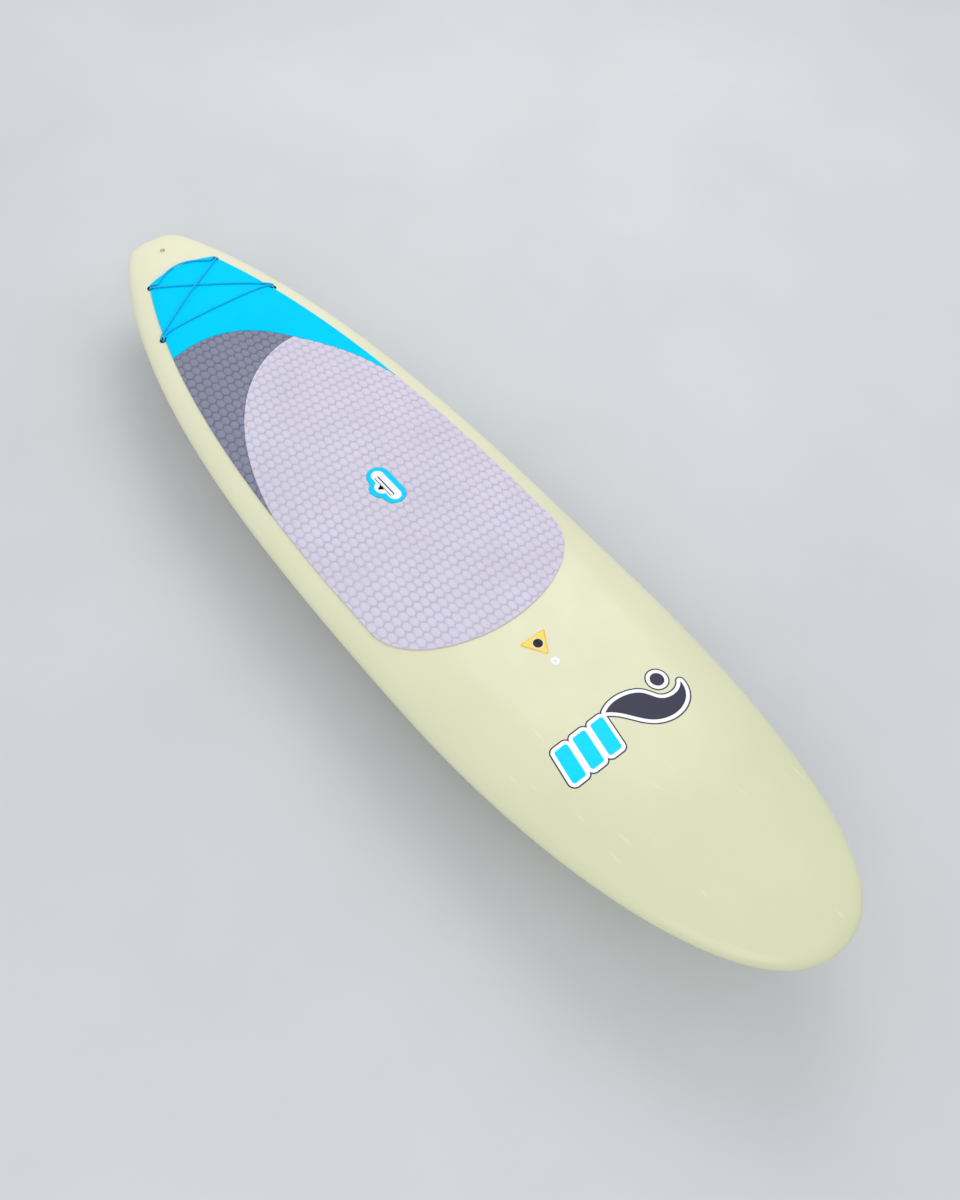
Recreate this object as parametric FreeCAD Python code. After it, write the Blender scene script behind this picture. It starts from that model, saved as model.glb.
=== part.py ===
import FreeCAD, Part
import math
import os

# Stand up paddleboard: a rigid board of foam and laminate with deck pads, fittings and a centre fin.
# Units are millimetres. The origin is on the flat of the hull, on the centre line and half way along the
# board. +X points to the nose, +Y to port and +Z up.

# Board
LENGTH = 3200.0
WIDTH = 838.0
THICKNESS = 118.0
NOSE_ROCKER = 145.0
TAIL_ROCKER = 66.0
FLAT_AFT_X = -350.0          # the hull is straight between these two stations
FLAT_FORE_X = 150.0
WIDE_POINT_X = 400.0
TAIL_HALF_WIDTH = 72.0       # where the side lines would meet the end of the tail
TAIL_CORNER = 45.0
NOSE_LIP = 90.0              # length over which the ends round off in side view
TAIL_LIP = 60.0
APEX_SHARE = 0.42            # height of the widest line of the rail, as a share of the thickness
DECK_POWER = 3.2             # how square the deck and the hull are across the board
HULL_POWER = 6.0
HULL_FLAT_DEPTH = 0.5        # how much of the hull's bottom is planed off flat

# Laminate
SKIN = 2.4
BOND = 0.3                   # glue line between glued layers
STRINGER = 4.0
CORE_END = 1588.0            # the core stops short of the tips, where the laminate closes on itself

# Deck pads
PAD = 5.0
PAD_MARGIN = 68.0            # from the edge of the board to the edge of the pad
PAD_AFT_STATION = -1415.0
PAD_SIDE_STATION = -60.0
PAD_TAIL_X = -1407.0
PAD_NOSE_X = 360.0
PAD_NOSE_START_X = 140.0
PAD_EDGE_POINTS = 9          # along the curved part of each side
PAD_GAP = 1.6                # between neighbouring panels
PAD_CLEARANCE = 0.5          # round the handle's trim
PLUG_CLEARANCE = 1.0         # round the bungee plugs
CYAN_EDGE = [
    (-1045, -350), (-1066, -242), (-1073, -150), (-1032, 10),
    (-920, 131), (-723, 267), (-570, 327), (-380, 392),
]
DARK_EDGE = [
    (-919, 131), (-910, 60), (-834, -90), (-672, -227),
    (-469, -312), (-307, -347), (-120, -385),
]

# Carry handle
HANDLE_X = -241.0
HANDLE_PLATE = (128.0, 42.0, 25.0, 15.0)     # length, width, radius and offset of the bulge to starboard
HANDLE_TRIM = (152.0, 76.0, 34.0, 24.0)
HANDLE_FLANGE = (144.0, 68.0, 31.0, 22.0)
HANDLE_BLOCK = (190.0, 120.0, 44.0)          # length, width and depth of the foam block
HANDLE_BLOCK_Y = -6.0
HANDLE_DEPTH = 27.0
HANDLE_WALL = 3.0
HANDLE_PLATE_LOW = 2.0                       # underside of the plate, over the deck
HANDLE_SLOT = (84.0, 16.0)                   # length and width of the opening round the bar
HANDLE_POCKET = [(-13, -12), (12, -12), (-1, -33)]   # corners of the opening for the finger tips
HANDLE_BAR = (92.0, 9.5, 9.0)                # length, width and height
HANDLE_BAR_Y = -7.0
HANDLE_BAR_ROUND = 3.5
HANDLE_CORNER = 3.0
HANDLE_FIT = 0.2                             # between the cup and the trim round it
TRIM_HEIGHT = 6.2
TRIM_ROUND = 1.4

# Air vent and breather: radii and heights over the deck
VENT_X = 466.0
VENT_FLANGE = (18.0, 0.6)
VENT_CUP = (16.5, -8.0)
VENT_NECK = (10.0, -26.0)
VENT_RECESS = (14.5, -5.0)
VENT_THREAD = 6.0
VENT_HEAD = (14.0, -1.9, 3.0)                # radius, underside and top
VENT_STEM_END = -14.0
VENT_COIN_SLOT = (20.0, 2.6, 1.2)            # length, width and height of its floor
VENT_NOTCHES = (12, 1.6, -0.5)               # count, radius and height of their floor
VENT_SEAL = (9.0, 1.45, -3.45)               # ring radius, section radius and height
VENT_BLOCK = (150.0, 52.0, 40.0)
BREATHER_X = 540.0
BREATHER_FLANGE = (14.0, 0.9)
BREATHER_NECK = (9.0, -14.0)
BREATHER_POCKET = (7.0, -1.5)
BREATHER_HOLE = 2.0
MEMBRANE = (-2.2, -1.6)                      # its underside and its top
TRIANGLE = (-27.0, 47.0, 48.0)               # base x, tip x, half base, measured from the vent
TRIANGLE_ROUND = 4.0
HEAD_ROUND = 0.9                             # rounded top edges: screw head, vent flange, breather flange
VENT_FLANGE_ROUND = 0.35
BREATHER_FLANGE_ROUND = 0.6
RUNNING = 0.05                               # radial clearance of turning parts

# Plugs and cord
LEASH_X = -1506.0
REAR_PLUG = (-1377.0, 128.0)
FRONT_PLUG = (-1159.0, 217.0)
LEASH_CUP = (13.0, 9.0, 15.0, 1.8)           # outer radius, cavity radius, depth, bar radius
BUNGEE_CUP = (11.5, 8.7, 15.0, 1.5)
PLUG_FLOOR = 2.0
PLUG_RIM = 0.5                               # height over the deck
PLUG_BAR_DEPTH = 3.4
PLUG_BLOCK_RADIUS = 22.0
PLUG_BLOCK_DEPTH = 32.0
CORD_RADIUS = 3.0
CORD_LEG = 5.2                               # from the bar's axis to the cord's axis
CORD_LOOP = [(26, 0), (17, 0), (9, 0), (3, 1), (0, 4)]   # distance from the bar, and drop, over the rim
CORD_LOOP_RISE = 1.5                         # over the pad, where the cord comes up out of the plug
CORD_RISE = 7.5                              # of the upper diagonal where the two cross
CORD_RISE_SPREAD = 0.16                      # share of the diagonal over which it rises
CORD_SLACK = 42.0                            # how far the rear run sags, to lie along the edge of the pad
CORD_CENTRE = (-1290.0, 0.0)
CORD_REST = 0.6                              # clearance between the cord and what it lies on
TUBE_POLES = 8                               # control points round the cord

# Fin and fin box: heights are measured out of the hull
FIN_X = -1120.0
FIN_BOX = (267.0, 28.0, 24.0)                # length, width, depth
FIN_BOX_FLANGE = (281.0, 42.0, 2.4)
FIN_SLOT = (245.0, 10.0, 19.0)
FIN_CHANNEL = (15.0, 9.0, 14.0)              # width, top and bottom depth of the cross channel
FIN_MOUTH = 18.0                             # length of the opening that lets the pin into the channel
FIN_BLOCK = (310.0, 66.0, 40.0)
FIN_TAB = (166.0, 9.4, 17.0)
FIN_EAR = (26.0, -4.6, -1.0)                 # length, underside and top of the lug in front of the tab
FIN_EAR_ROOT = 20.0                          # how far the lug runs back into the tab
FIN_LEADING_X = 56.0                         # front of the blade's root, behind the screw
FIN_CHORD = 156.0
FIN_DEPTH = 229.0
FIN_RAKE = 150.0
FIN_TAPER = 0.25
FIN_FOIL = 0.058                             # thickness over chord
FIN_TRAILING = 0.6                           # half thickness of the trailing edge
FIN_LEVELS = (0.0, 0.2, 0.4, 0.6, 0.78, 0.91, 0.98, 1.0)   # sections down the blade, as shares of its depth
FIN_COLUMNS = 12
FIN_GAP = 1.5                                # between the hull and the root of the blade
FIN_PIN = (2.0, 14.4, 12.0)                  # radius, length, and distance from the end of the tab
FIN_SCREW_INSET = 10.0                       # from the front of the lug
FIN_SCREW_HEAD = (3.9, -0.95, 1.3)           # radius, underside and top
FIN_SCREW_STEM = (2.0, -16.0)
FIN_SCREW_DRIVE = (7.0, 1.1, 0.3)            # length and width of each arm of the cross, height of its floor
NUT_PLATE = (16.0, 14.4, 3.0)

# Nose graphic, from the centre of the board
DECAL = 0.25                                 # thickness of a vinyl sticker
STICKER_GAP = 0.1                            # glue line under a sticker
BARS = 3
BAR_ENDS = (752.0, 856.0)
BAR_FIRST_Y = -19.0
BAR_PITCH = 66.0
BAR_WIDTH = 46.0
BAR_SLANT = 22.0
BAR_ROUND = 8.0
WAVE_CREST = [(750, -4), (788, 36), (848, 84), (872, 146), (856, 206), (806, 236)]
WAVE_TROUGH = [(806, 236), (826, 192), (812, 150), (772, 124), (744, 76), (750, -4)]
WAVE_SAMPLES = 24
DROP = (762.0, 186.0, 21.0)                  # x, y and radius of the round mark under the wave
KEYLINE = 11.0                               # white margin round the marks
OUTLINE = 4.0                                # dark line round the white margin

HALF = LENGTH / 2
STATIONS = 36                # rows and columns of the control net that shapes the board
COLUMNS = 15
TALL = 600.0                 # reach of cutting tools that pass right through
PROUD = 20.0                 # how far shorter cutting tools stand out of the surface they cut

V = FreeCAD.Vector
Z_AXIS = V(0, 0, 1)


# ---- shape of the board ----

def half_width(x):
    """Half the width of the board at station x."""
    if x > WIDE_POINT_X:
        t = (x - WIDE_POINT_X) / (HALF - WIDE_POINT_X)
        return WIDTH / 2 * (1 - min(t, 1) ** 1.98) ** (1 / 2.37)
    t = (WIDE_POINT_X - x) / (HALF + WIDE_POINT_X)
    side = TAIL_HALF_WIDTH + (WIDTH / 2 - TAIL_HALF_WIDTH) * (1 - min(t, 1) ** 3.04) ** (1 / 1.25)
    corner = max(1 - (x + HALF) / TAIL_CORNER, 0)
    return side * (1 - corner ** 4) ** 0.25


def rocker(x):
    """Height of the hull's centre line at station x."""
    if x > FLAT_FORE_X:
        return NOSE_ROCKER * ((x - FLAT_FORE_X) / (HALF - FLAT_FORE_X)) ** 1.95
    if x < FLAT_AFT_X:
        return TAIL_ROCKER * ((FLAT_AFT_X - x) / (HALF + FLAT_AFT_X)) ** 2.1
    return 0.0


def thickness(x):
    """Full thickness of the board at station x, before the ends round off."""
    share = x / LENGTH + 0.5
    nose = max((share - 0.55) / 0.45, 0) ** 2.5
    tail = max((0.45 - share) / 0.45, 0) ** 2.5
    return THICKNESS * (1 - 0.45 * nose - 0.5 * tail)


def lip(x):
    """Share of the thickness left where the nose and the tail round off."""
    nose = max(1 - (HALF - x) / NOSE_LIP, 0)
    tail = max(1 - (HALF + x) / TAIL_LIP, 0)
    return math.sqrt(max(1 - nose ** 2 - tail ** 2, 0))


def apex(x):
    """Height of the rail's widest line."""
    return rocker(x) - HULL_FLAT_DEPTH + APEX_SHARE * thickness(x)


def height(x, share, side, inset=0.0):
    """Height of the deck (side 1) or hull (side -1) at a share of the half width."""
    depth_share = 1 - APEX_SHARE if side > 0 else APEX_SHARE
    power = DECK_POWER if side > 0 else HULL_POWER
    depth = depth_share * thickness(x) * lip(x) - inset
    return apex(x) + side * depth * math.sqrt(max(1 - abs(share) ** power, 0))


def net_row(x, snapped_x, side, inset):
    """One row of the control net, from the starboard rail over the board to the port rail."""
    width = half_width(x) - inset
    row = [V(snapped_x, -width, apex(x))]
    for column in range(COLUMNS):
        share = -math.cos(math.pi * (column + 0.5) / COLUMNS)
        snapped = math.copysign(1, share) if column in (0, COLUMNS - 1) else share
        row.append(V(snapped_x, snapped * width, height(x, share, side, inset)))
    row.append(V(snapped_x, width, apex(x)))
    return row


def clamped_knots(count):
    """Knots and multiplicities of a clamped cubic spline with this many control points."""
    spans = count - 3
    return [k / spans for k in range(spans + 1)], [4] + [1] * (spans - 1) + [4]


def spline_surface(rows):
    """Clamped cubic surface over a net of control points."""
    along, along_counts = clamped_knots(len(rows))
    across, across_counts = clamped_knots(len(rows[0]))
    surface = Part.BSplineSurface()
    surface.buildFromPolesMultsKnots(rows, along_counts, across_counts, along, across, False, False, 3, 3)
    return surface


def board_surface(side, inset=0.0, lift=0.0):
    """Spline surface of the deck (side 1) or the hull (side -1).

    The ends of the board are poles: the first and last rows of the net are single points, and their
    neighbours lie straight above and beside them, so the surface is smooth there.
    """
    reach = HALF - inset
    rows = [[V(-reach, 0, apex(-HALF))] * (COLUMNS + 2)]
    for station in range(STATIONS):
        x = -HALF * math.cos(math.pi * (station + 0.5) / STATIONS)
        snapped_x = math.copysign(reach, x) if station in (0, STATIONS - 1) else x * reach / HALF
        rows.append(net_row(x, snapped_x, side, inset))
    rows.append([V(reach, 0, apex(HALF))] * (COLUMNS + 2))
    return spline_surface([[pole + V(0, 0, lift) for pole in row] for row in rows])


def closed_solid(faces):
    """Solid bounded by faces that meet edge to edge."""
    compound = Part.makeCompound(faces)
    compound.sewShape()
    solid = Part.makeSolid(compound.Shells[0])
    if solid.Volume < 0:
        solid.reverse()
    return solid


def layer(low, high):
    """Solid between two board surfaces, closed along both rails."""
    rails = [Part.makeRuledSurface(low.vIso(v).toShape(), high.vIso(v).toShape()) for v in (0.0, 1.0)]
    return closed_solid([low.toShape(), high.toShape()] + rails)


def board_solid(inset=0.0):
    """Whole board, drawn in by inset on every side."""
    return closed_solid([board_surface(1, inset).toShape(), board_surface(-1, inset).toShape()])


DECK = board_surface(1)
HULL = board_surface(-1)
BOARD = board_solid()


def seat(x, y, side):
    """Placement on the deck (side 1) or hull (side -1) with its Z axis pointing out of the board."""
    surface = DECK if side > 0 else HULL
    u, v = surface.parameter(V(x, y, height(x, y / half_width(x), side)))
    normal = surface.normal(u, v)
    if normal.z * side < 0:
        normal = normal * -1
    if side > 0:
        turn = FreeCAD.Rotation(Z_AXIS, normal)
    else:
        turn = FreeCAD.Rotation(V(1, 0, 0), V(0, 0, 0), normal, "ZXY")
    return FreeCAD.Placement(surface.value(u, v), turn)


# ---- small shape helpers ----

def box(length, width, low, high, x=0.0, y=0.0):
    """Box centred on (x, y) between two heights."""
    return Part.makeBox(length, width, high - low, V(x - length / 2, y - width / 2, low))


def disc(radius, low, high, x=0.0, y=0.0):
    """Upright cylinder between two heights."""
    return Part.makeCylinder(radius, high - low, V(x, y, low))


def bar_along(axis, radius, length, z, x=0.0):
    """Round bar centred on (x, 0, z), along the X or the Y axis."""
    direction = V(1, 0, 0) if axis == "x" else V(0, 1, 0)
    return Part.makeCylinder(radius, length, V(x, 0, z) - direction * (length / 2), direction)


def stadium(length, width, low, high, x=0.0):
    """Round-ended block along X between two heights."""
    reach = (length - width) / 2
    middle = box(2 * reach, width, low, high, x)
    ends = [disc(width / 2, low, high, x + reach), disc(width / 2, low, high, x - reach)]
    return middle.multiFuse(ends).removeSplitter()


def prism(edges, low=-TALL, high=TALL):
    """Upright solid over a closed outline in plan."""
    face = Part.Face(Part.Wire(edges))
    face.translate(V(0, 0, low))
    return face.extrude(V(0, 0, high - low))


def polygon(points, low=-TALL, high=TALL):
    """Upright solid over a straight-sided outline."""
    corners = [V(x, y, 0) for x, y in points]
    return prism([Part.makeLine(a, b) for a, b in zip(corners, corners[1:] + corners[:1])], low, high)


def spline(points):
    """Smooth curve through points in plan."""
    curve = Part.BSplineCurve()
    curve.interpolate([V(x, y, 0) for x, y in points])
    return curve


def placed(shape, placement):
    """Copy of a shape drawn at the origin, moved to its place."""
    copy = shape.copy()
    copy.Placement = placement.multiply(copy.Placement)
    return copy


def group(shapes):
    """Identical pieces that share one node."""
    return Part.makeCompound([solid for shape in shapes for solid in shape.Solids])


def save(name, shape):
    """Write one node."""
    shape.exportStep("parts/" + name + ".step")


# ---- places of the fittings ----

def mirrored(point):
    """The same place on the other side of the board."""
    return point[0], -point[1]


PLUG_POINTS = [FRONT_PLUG, mirrored(FRONT_PLUG), mirrored(REAR_PLUG), REAR_PLUG]


def plug_seat(point):
    """Seat of a bungee plug, turned so that its bar points to the middle of the cord's loop."""
    aim = math.degrees(math.atan2(CORD_CENTRE[1] - point[1], CORD_CENTRE[0] - point[0]))
    turned = FreeCAD.Placement(V(0, 0, 0), FreeCAD.Rotation(Z_AXIS, aim))
    return seat(point[0], point[1], 1).multiply(turned)


HANDLE_SEAT = seat(HANDLE_X, 0, 1)
VENT_SEAT = seat(VENT_X, 0, 1)
BREATHER_SEAT = seat(BREATHER_X, 0, 1)
LEASH_SEAT = seat(LEASH_X, 0, 1)
PLUG_SEATS = [plug_seat(point) for point in PLUG_POINTS]
FIN_SEAT = seat(FIN_X, 0, -1)


# ---- outlines that several pieces share ----

def handle_plan(plan, low, high):
    """Block with the handle's outline: a round-ended slot with a bulge for the fingers to starboard."""
    length, width, recess_radius, recess_offset = plan
    body = stadium(length, width, low, high)
    recess = disc(recess_radius, low, high, 0, -recess_offset)
    return body.fuse(recess).removeSplitter()


def pad_edge_point(station):
    """Point of the pad's port edge: the edge of the board moved in by the pad's margin."""
    step = 1.0
    slope = (half_width(station + step) - half_width(station - step)) / (2 * step)
    scale = PAD_MARGIN / math.hypot(1, slope)
    return station + slope * scale, half_width(station) - scale


def pad_prism():
    """Upright solid over the outline of the whole deck pad."""
    step = (PAD_SIDE_STATION - PAD_AFT_STATION) / (PAD_EDGE_POINTS - 1)
    stations = [PAD_AFT_STATION + k * step for k in range(PAD_EDGE_POINTS)]
    port = [pad_edge_point(station) for station in stations]
    side = spline(port).toShape()
    other = spline([mirrored(point) for point in port]).toShape()
    corner, shoulder = port[0], port[-1]
    aft = Part.Arc(V(*corner, 0), V(PAD_TAIL_X, 0, 0), V(*mirrored(corner), 0)).toShape()
    widest = shoulder[1]
    middle = V(PAD_NOSE_START_X, 0, 0)
    straights = []
    for y in (widest, -widest):
        straights.append(Part.makeLine(V(shoulder[0], y, 0), V(PAD_NOSE_START_X, y, 0)))
    ellipse = Part.Ellipse(middle + V(0, widest, 0), middle + V(PAD_NOSE_X - PAD_NOSE_START_X, 0, 0), middle)
    nose = Part.Arc(ellipse, 0, math.pi).toShape()
    return prism(Part.__sortEdges__([side, other, aft, nose] + straights))


def gap_between_panels(points):
    """Thin upright cutter along the line between two panels."""
    line = spline(points).toShape()
    moved = line.copy()
    moved.translate(V(PAD_GAP, 0, 0))
    first, last = (V(*points[k], 0) for k in (0, -1))
    ends = [Part.makeLine(point, point + V(PAD_GAP, 0, 0)) for point in (first, last)]
    return prism(Part.__sortEdges__([line, moved] + ends))


# ---- laminate and core ----

def fitting_holes():
    """What the fittings take out of the deck skin."""
    discs = [(VENT_FLANGE[0], VENT_SEAT), (BREATHER_FLANGE[0], BREATHER_SEAT), (LEASH_CUP[0], LEASH_SEAT)]
    discs.extend((BUNGEE_CUP[0], place) for place in PLUG_SEATS)
    holes = [placed(disc(radius, -PROUD, PROUD), place) for radius, place in discs]
    return holes + [placed(handle_plan(HANDLE_FLANGE, -PROUD, PROUD), HANDLE_SEAT)]


def pocket(size, place, x=0.0, y=0.0):
    """Box let into the core from a seat."""
    length, width, depth = size
    return placed(box(length, width, -depth, PROUD, x, y), place)


def block_prisms():
    """Pockets in the core for the dense foam blocks: handle, vent, plugs and fin box."""
    round_pocket = disc(PLUG_BLOCK_RADIUS, -PLUG_BLOCK_DEPTH, PROUD)
    return {
        "handle": [pocket(HANDLE_BLOCK, HANDLE_SEAT, y=HANDLE_BLOCK_Y)],
        "vent": [pocket(VENT_BLOCK, VENT_SEAT, x=(BREATHER_X - VENT_X) / 2)],
        "plug": [placed(round_pocket, place) for place in PLUG_SEATS + [LEASH_SEAT]],
        "fin": [pocket(FIN_BLOCK, FIN_SEAT)],
    }


def make_skins():
    """Deck and hull laminates, meeting along the widest line of the rails."""
    deck = layer(board_surface(1, SKIN), DECK).cut(Part.makeCompound(fitting_holes()))
    hull = layer(board_surface(-1, SKIN), HULL)
    length, width, _ = FIN_BOX_FLANGE
    below = box(2 * LENGTH, 2 * WIDTH, -TALL, 0)
    opening = placed(stadium(length, width, -PROUD, PROUD), FIN_SEAT)
    save("deck_skin", deck)
    save("hull_skin", hull.cut(below).cut(opening))


def make_core():
    """Two foam halves either side of the stringer, and the dense blocks let into them."""
    core = board_solid(SKIN + BOND).common(box(2 * CORE_END, 2 * WIDTH, -TALL, TALL))
    pockets = block_prisms()
    every_pocket = Part.makeCompound([shape for shapes in pockets.values() for shape in shapes])
    rest = core.cut(every_pocket)
    side = WIDTH / 2
    port = Part.makeBox(2 * LENGTH, side, TALL, V(-LENGTH, STRINGER / 2, -TALL / 2))
    starboard = Part.makeBox(2 * LENGTH, side, TALL, V(-LENGTH, -STRINGER / 2 - side, -TALL / 2))
    middle = Part.makeBox(2 * LENGTH, STRINGER, TALL, V(-LENGTH, -STRINGER / 2, -TALL / 2))
    save("foam_core_port", rest.common(port))
    save("foam_core_starboard", rest.common(starboard))
    save("stringer", rest.common(middle))
    holes = {
        "handle": [placed(handle_body(), HANDLE_SEAT)],
        "vent": [placed(vent_body(), VENT_SEAT), placed(breather_body(), BREATHER_SEAT)],
        "plug": [placed(disc(LEASH_CUP[0], -LEASH_CUP[2], PROUD), LEASH_SEAT)]
        + [placed(disc(BUNGEE_CUP[0], -BUNGEE_CUP[2], PROUD), place) for place in PLUG_SEATS],
        "fin": [placed(fin_box_body(), FIN_SEAT)],
    }
    for name, shapes in pockets.items():
        blocks = [core.common(shape).cut(Part.makeCompound(holes[name])) for shape in shapes]
        save(name + "_foam_block", group(blocks))


# ---- deck pads ----

def make_pads():
    """Three glued foam panels: cyan at the tail, a dark crescent, and the pale main pad."""
    sheet = layer(board_surface(1, 0, BOND), board_surface(1, 0, BOND + PAD)).common(pad_prism())
    cutters = [gap_between_panels(CYAN_EDGE), gap_between_panels(DARK_EDGE)]
    trim_prism = handle_plan(HANDLE_TRIM, -PROUD, 2 * PROUD)
    cutters.append(placed(trim_prism, HANDLE_SEAT).makeOffsetShape(PAD_CLEARANCE, 0.01))
    plug_prism = disc(BUNGEE_CUP[0] + PLUG_CLEARANCE, -PROUD, 2 * PROUD)
    cutters.extend(placed(plug_prism, place) for place in PLUG_SEATS)
    panels = sorted(sheet.cut(Part.makeCompound(cutters)).Solids, key=lambda panel: panel.CenterOfMass.x)
    for name, panel in zip(("pad_cyan", "pad_dark", "pad_light"), panels):
        save(name, panel)


# ---- carry handle ----

def handle_body():
    """Outside of the handle's cup with its flange."""
    cup = handle_plan(HANDLE_PLATE, -HANDLE_DEPTH - HANDLE_WALL, HANDLE_PLATE_LOW)
    flange = handle_plan(HANDLE_FLANGE, -SKIN, 0)
    return cup.fuse(flange).removeSplitter()


def handle_bar():
    """Grip bar along the cup, with rounded edges."""
    length, width, depth = HANDLE_BAR
    bar = box(length, width, PAD - depth, PAD, 0, HANDLE_BAR_Y)
    long_edges = [edge for edge in bar.Edges if edge.Length > length - 1]
    return bar.makeFillet(HANDLE_BAR_ROUND, long_edges)


def rounded_prism(prism_shape, radius):
    """Upright solid with its upright edges rounded."""
    upright = [edge for edge in prism_shape.Edges if edge.BoundBox.XLength + edge.BoundBox.YLength < 1]
    return prism_shape.makeFillet(radius, upright)


def rounded_at(shape, level, radius):
    """Shape with every edge that lies at one level rounded."""
    edges = []
    for edge in shape.Edges:
        bounds = edge.BoundBox
        if abs(bounds.ZMin - level) < 0.01 and abs(bounds.ZMax - level) < 0.01:
            edges.append(edge)
    return shape.makeFillet(radius, edges)


def make_handle():
    """Deep cup, the face plate with its openings, the bar across it, and the coloured trim in the pad."""
    length, width, radius, offset = HANDLE_PLATE
    inside = (length - 2 * HANDLE_WALL, width - 2 * HANDLE_WALL, radius - HANDLE_WALL, offset)
    cup = handle_body().cut(handle_plan(inside, -HANDLE_DEPTH, PROUD)).cut(handle_bar())
    slot_length, slot_width = HANDLE_SLOT
    slot = rounded_prism(box(slot_length, slot_width, -PROUD, PROUD, 0, HANDLE_BAR_Y), HANDLE_CORNER)
    pocket_hole = rounded_prism(polygon(HANDLE_POCKET, -PROUD, PROUD), HANDLE_CORNER)
    plate = handle_plan(HANDLE_PLATE, HANDLE_PLATE_LOW, PAD).cut(Part.makeCompound([slot, pocket_hole]))
    plate = plate.cut(handle_bar())
    opening = (length + 2 * HANDLE_FIT, width + 2 * HANDLE_FIT, radius + HANDLE_FIT, offset)
    trim = rounded_at(handle_plan(HANDLE_TRIM, BOND, TRIM_HEIGHT), TRIM_HEIGHT, TRIM_ROUND)
    trim = trim.cut(handle_plan(opening, 0, PROUD))
    save("handle_cup", placed(cup, HANDLE_SEAT))
    save("handle_plate", placed(plate, HANDLE_SEAT))
    save("handle_grip_bar", placed(handle_bar(), HANDLE_SEAT))
    save("handle_trim", placed(trim, HANDLE_SEAT))


# ---- air vent and breather ----

def stepped(*steps):
    """Turned body: each step is a radius with the heights it runs between."""
    discs = [disc(radius, low, high) for radius, low, high in steps]
    return discs[0].multiFuse(discs[1:]).removeSplitter()


def circle_steps(count):
    """Angles of equal steps round a circle."""
    return [2 * math.pi * k / count for k in range(count)]


def vent_body():
    """Outside of the vent's threaded housing."""
    flange_radius, top = VENT_FLANGE
    cup_radius, cup_bottom = VENT_CUP
    neck_radius, bottom = VENT_NECK
    body = stepped(
        (flange_radius, -SKIN, top), (cup_radius, cup_bottom, -SKIN), (neck_radius, bottom, cup_bottom)
    )
    return rounded_at(body, top, VENT_FLANGE_ROUND)


def vent_cap():
    """Vent screw: a flat head with a coin slot and finger notches, on a threaded stem."""
    radius, underside, top = VENT_HEAD
    cap = stepped((radius, underside, top), (VENT_THREAD - RUNNING, VENT_STEM_END, underside))
    cap = rounded_at(cap, top, HEAD_ROUND)
    count, notch_radius, notch_floor = VENT_NOTCHES
    cutters = []
    for angle in circle_steps(count):
        x, y = radius * math.cos(angle), radius * math.sin(angle)
        cutters.append(disc(notch_radius, notch_floor, PROUD, x, y))
    length, width, floor = VENT_COIN_SLOT
    cutters.append(box(length, width, floor, PROUD))
    return cap.cut(Part.makeCompound(cutters))


def breather_body():
    """Outside of the breather's housing."""
    flange_radius, top = BREATHER_FLANGE
    neck_radius, bottom = BREATHER_NECK
    body = stepped((flange_radius, -SKIN, top), (neck_radius, bottom, -SKIN))
    return rounded_at(body, top, BREATHER_FLANGE_ROUND)


def make_vent():
    """Threaded housing, its screw and seal, and the warning triangle stuck round it."""
    recess_radius, recess_floor = VENT_RECESS
    recess = disc(recess_radius, recess_floor, PROUD)
    bore = disc(VENT_THREAD, -2 * PROUD, PROUD)
    save("vent_housing", placed(vent_body().cut(recess).cut(bore), VENT_SEAT))
    ring_radius, section_radius, level = VENT_SEAL
    save("vent_o_ring", placed(Part.makeTorus(ring_radius, section_radius, V(0, 0, level)), VENT_SEAT))
    save("vent_screw", placed(vent_cap(), VENT_SEAT))


def make_triangle():
    """Warning triangle, a sticker with a round hole for the vent's flange."""
    base, tip, half_base = TRIANGLE
    corners = [(base, half_base), (base, -half_base), (tip, 0)]
    triangle = polygon(corners, STICKER_GAP, STICKER_GAP + 2 * DECAL)
    upright = [edge for edge in triangle.Edges if edge.Length < 1]
    triangle = triangle.makeFillet(TRIANGLE_ROUND, upright).cut(disc(VENT_FLANGE[0] + RUNNING, -1, PROUD))
    save("vent_triangle", placed(triangle, VENT_SEAT))


def make_breather():
    """Housing with a small hole over a membrane that lets air out and keeps water from coming in."""
    pocket_radius, pocket_top = BREATHER_POCKET
    inside = disc(pocket_radius, -PROUD, pocket_top)
    hole = disc(BREATHER_HOLE, pocket_top, PROUD)
    save("breather_housing", placed(breather_body().cut(inside).cut(hole), BREATHER_SEAT))
    low, high = MEMBRANE
    save("breather_membrane", placed(disc(pocket_radius - RUNNING, low, high), BREATHER_SEAT))


# ---- plugs and cord ----

def plug(cup):
    """Cup with a cross bar, both drawn with the bar along X: returns the cup and the bar."""
    outer, inner, depth, bar_radius = cup
    bar = bar_along("x", bar_radius, 2 * outer - 2, -PLUG_BAR_DEPTH - bar_radius)
    body = disc(outer, -depth, PLUG_RIM).cut(disc(inner, PLUG_FLOOR - depth, PROUD)).cut(bar)
    return body, bar


def make_plugs():
    """Leash plug at the tail, and the four bungee plugs."""
    cup, bar = plug(LEASH_CUP)
    save("leash_plug", placed(cup, LEASH_SEAT))
    save("leash_plug_bar", placed(bar, LEASH_SEAT))
    cup, bar = plug(BUNGEE_CUP)
    save("bungee_plugs", group([placed(cup, place) for place in PLUG_SEATS]))
    save("bungee_plug_bars", group([placed(bar, place) for place in PLUG_SEATS]))


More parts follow.
